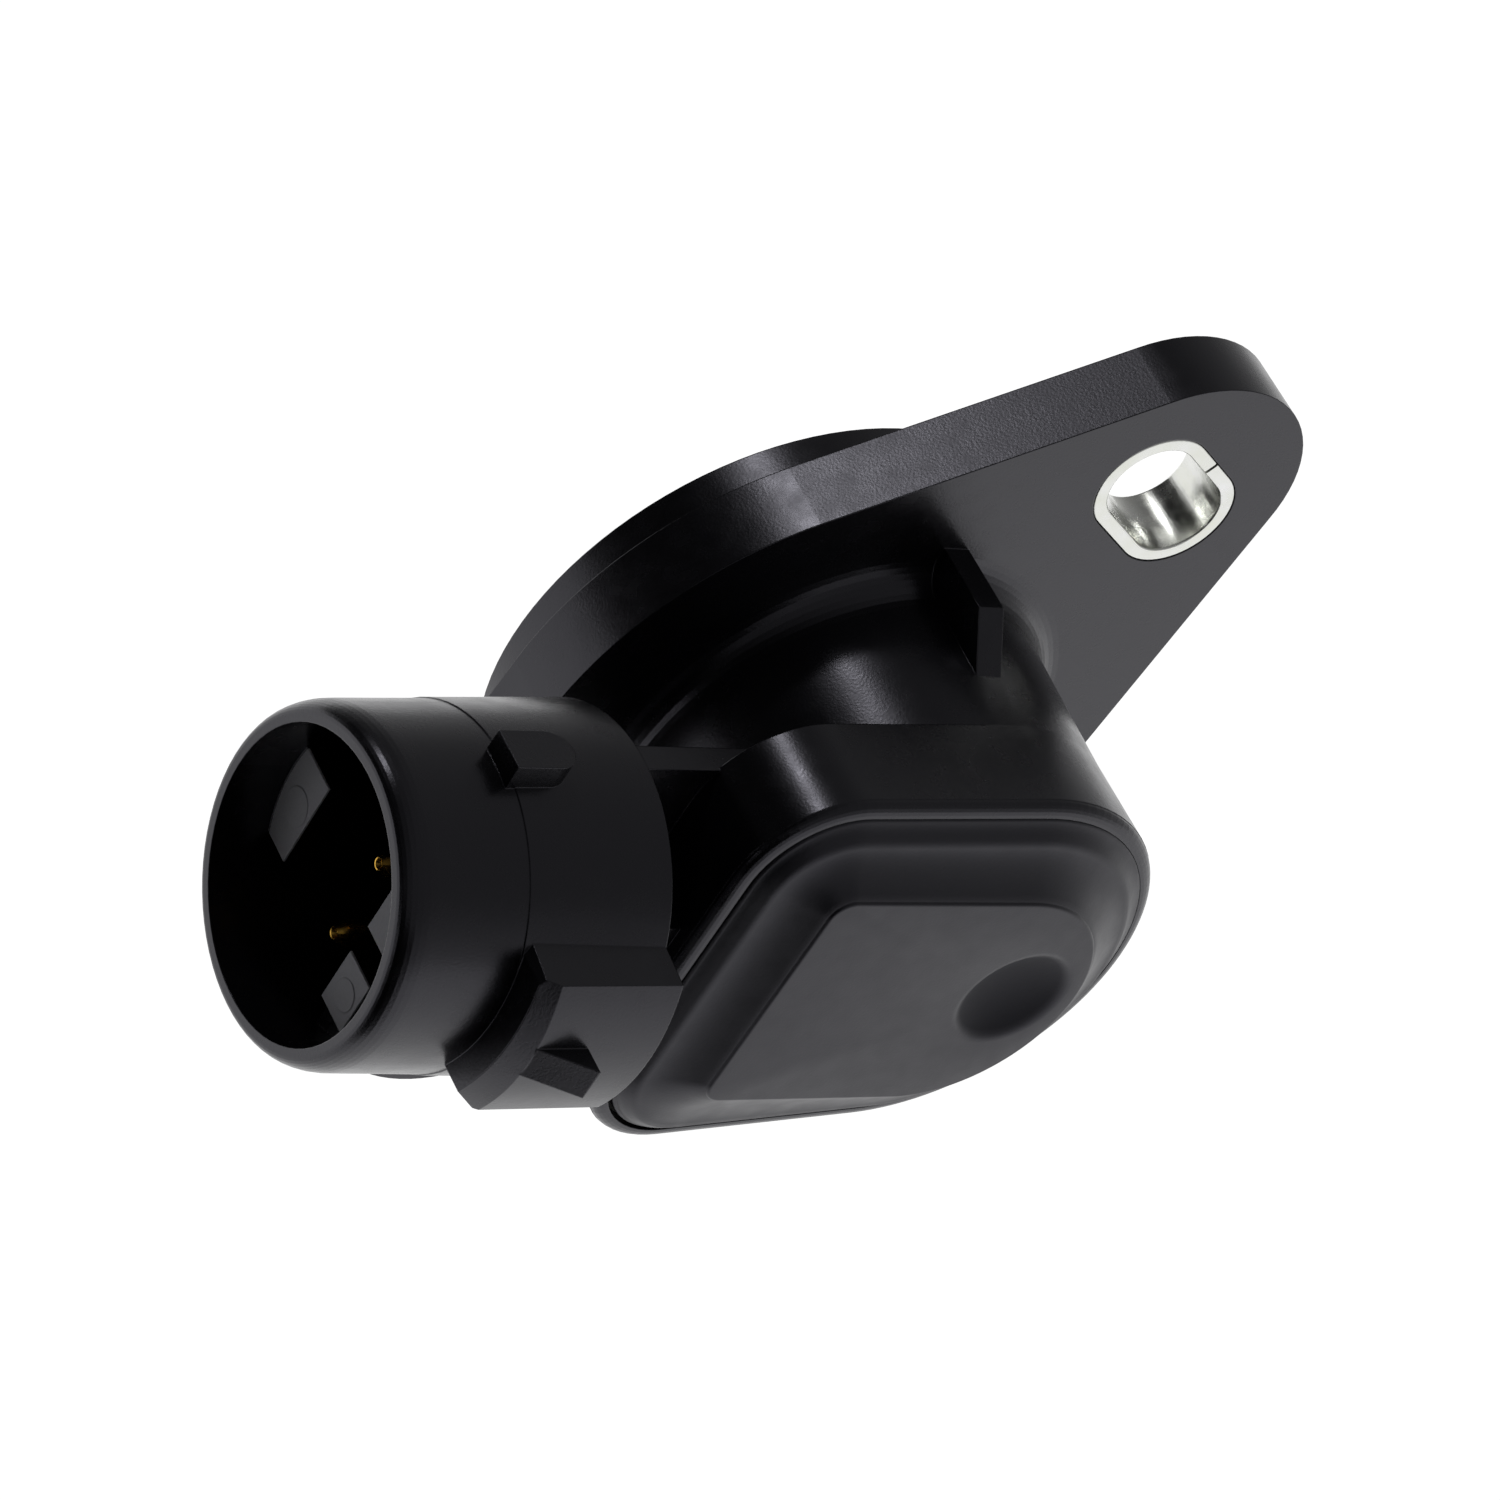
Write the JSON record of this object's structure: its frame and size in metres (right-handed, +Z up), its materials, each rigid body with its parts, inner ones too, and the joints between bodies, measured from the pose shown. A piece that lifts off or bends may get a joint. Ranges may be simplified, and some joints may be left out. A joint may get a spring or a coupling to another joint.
{
  "type": "throttle position sensor",
  "caption": "Rotary position sensor with a black flanged housing, slotted mounting ears lined with steel sleeves, a raised front cover and a round plug socket.",
  "frame": {"origin": "on the rotor's axis, in the plane of the mounting face at the back of the plate", "axes": "+Y along the rotor's axis towards the throttle shaft, -X towards the mouth of the plug socket, +Z upwards across the plug socket"},
  "size_m": [0.0645, 0.0344, 0.061],
  "materials": {
    "black_plastic": "fine satin, glass-filled nylon",
    "cover_plastic": "fine satin, glass-filled nylon",
    "seal_rubber": "matt moulded rubber",
    "sleeve_steel": "dull rolled steel",
    "terminal_brass": "plated brass",
    "solder": "bright solder",
    "board": "phenolic board",
    "carbon_film": "printed carbon film",
    "silver_film": "printed silver film",
    "bronze": "sintered bronze",
    "washer_plastic": "natural acetal",
    "spring_steel": "drawn spring wire",
    "rotor_plastic": "moulded acetal",
    "carrier_plastic": "moulded plastic",
    "contact_metal": "springy contact alloy",
    "rivet_steel": "aluminium rivet"
  },
  "bodies": {
    "sensor_body": {"housing": "black_plastic", "front_cover": "cover_plastic", "cover_seal": "seal_rubber", "upper_sleeve": "sleeve_steel", "lower_sleeve": "sleeve_steel", "upper_terminal": "terminal_brass", "middle_terminal": "terminal_brass", "lower_terminal": "terminal_brass", "solder_joints": "solder", "resistor_board": "board", "resistive_track": "carbon_film", "collector_track": "silver_film", "conductor_lines": "silver_film", "rotor_bush": "bronze", "thrust_washer": "washer_plastic", "return_spring": "spring_steel", "shaft_seal": "seal_rubber", "face_seal": "seal_rubber"},
    "rotor": {"rotor": "rotor_plastic", "retaining_clip": "spring_steel", "wiper_carrier": "carrier_plastic", "wiper_brush": "contact_metal", "wiper_rivets": "rivet_steel"}
  },
  "joints": [
    {"name": "rotor_turn", "type": "hinge", "parent": "sensor_body", "child": "rotor", "pos_m": [0, 0, 0], "axis": [0, 1, 0], "range_deg": [0, 100], "stiffness_Nm_per_rad": 0.01, "springref_deg": -34.38, "deforming": ["return_spring"]}
  ]
}
